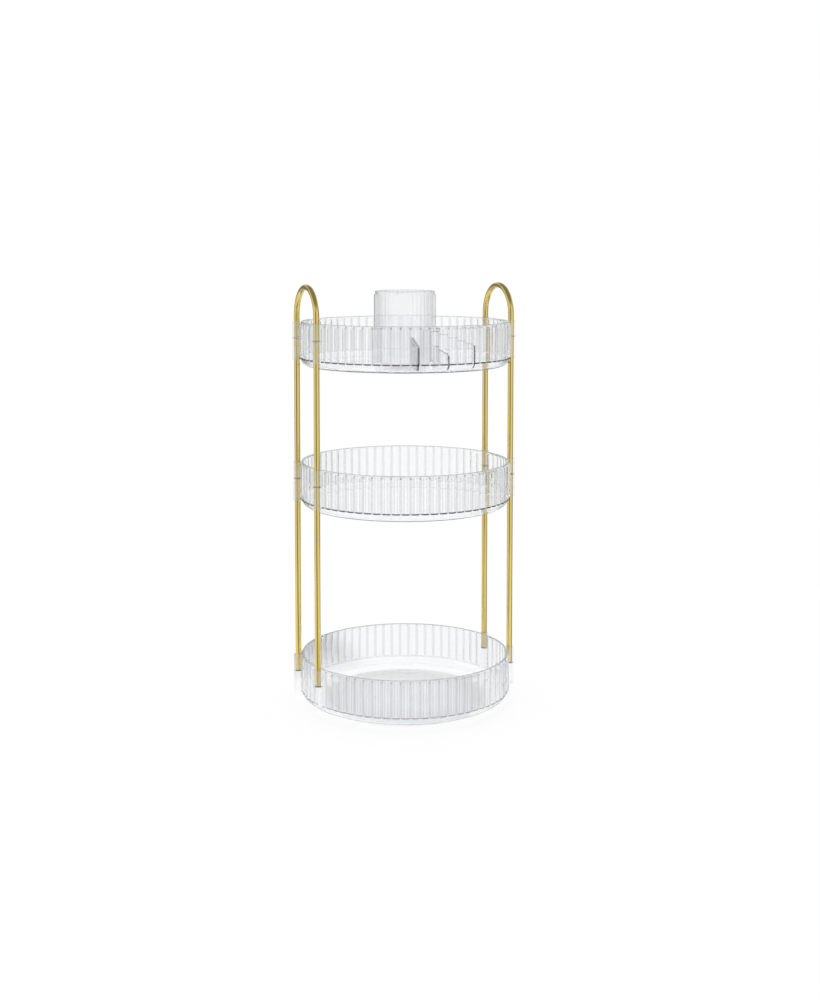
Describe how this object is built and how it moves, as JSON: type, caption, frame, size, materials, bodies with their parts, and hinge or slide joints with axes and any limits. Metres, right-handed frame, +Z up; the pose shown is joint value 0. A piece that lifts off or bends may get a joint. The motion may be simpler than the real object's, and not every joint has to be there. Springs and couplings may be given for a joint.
{
  "type": "rotating tiered organizer",
  "caption": "Open tiered organizer with clear ribbed round trays on gold tubes, loop handles, a brush cup and dividers on top, turning on a ball-bearing base.",
  "frame": {"origin": "on the table under the middle of the feet, on the axis that the organizer turns about", "axes": "+Z up along the turning axis, +X through the right handle, -Y to the front where the dividers are"},
  "size_m": [0.2354, 0.2298, 0.4617],
  "materials": {
    "clear_plastic": "clear polished moulding",
    "gold_tube": "gold-coloured plating on thin metal tube, bright satin",
    "turntable_plastic": "grey moulded plastic",
    "cage_plastic": "natural white moulded plastic",
    "bearing_steel": "polished steel balls",
    "zinc_steel": "zinc plated",
    "foot_rubber": "matte"
  },
  "bodies": {
    "stand": {"turntable_base": "turntable_plastic", "base_feet": "foot_rubber"},
    "ball_ring": {"ball_cage": "cage_plastic", "bearing_balls": "bearing_steel"},
    "organizer": {"bottom_tray": "clear_plastic", "middle_tray": "clear_plastic", "top_tray": "clear_plastic", "lower_post_front_left": "gold_tube", "lower_post_back_left": "gold_tube", "lower_post_front_right": "gold_tube", "lower_post_back_right": "gold_tube", "upper_post_front_left": "gold_tube", "upper_post_back_left": "gold_tube", "upper_post_front_right": "gold_tube", "upper_post_back_right": "gold_tube", "left_handle": "gold_tube", "right_handle": "gold_tube", "left_divider": "clear_plastic", "centre_divider": "clear_plastic", "right_divider": "clear_plastic", "turntable_plate": "turntable_plastic", "pivot_screw": "zinc_steel", "pivot_washer": "zinc_steel"},
    "cup": {"brush_cup": "clear_plastic"}
  },
  "joints": [
    {"name": "turntable_spin", "type": "hinge", "parent": "stand", "child": "organizer", "pos_m": [0, 0, 0.0044], "axis": [0, 0, 1], "continuous": true},
    {"name": "ball_ring_roll", "type": "hinge", "parent": "stand", "child": "ball_ring", "pos_m": [0, 0, 0.0044], "axis": [0, 0, 1], "continuous": true},
    {"name": "cup_lift", "type": "slide", "parent": "organizer", "child": "cup", "axis": [0, 0, 1], "range_m": [0, 0.085]}
  ],
  "couplings": [
    {"joint": "ball_ring_roll", "follows": "turntable_spin", "ratio": 0.5}
  ]
}
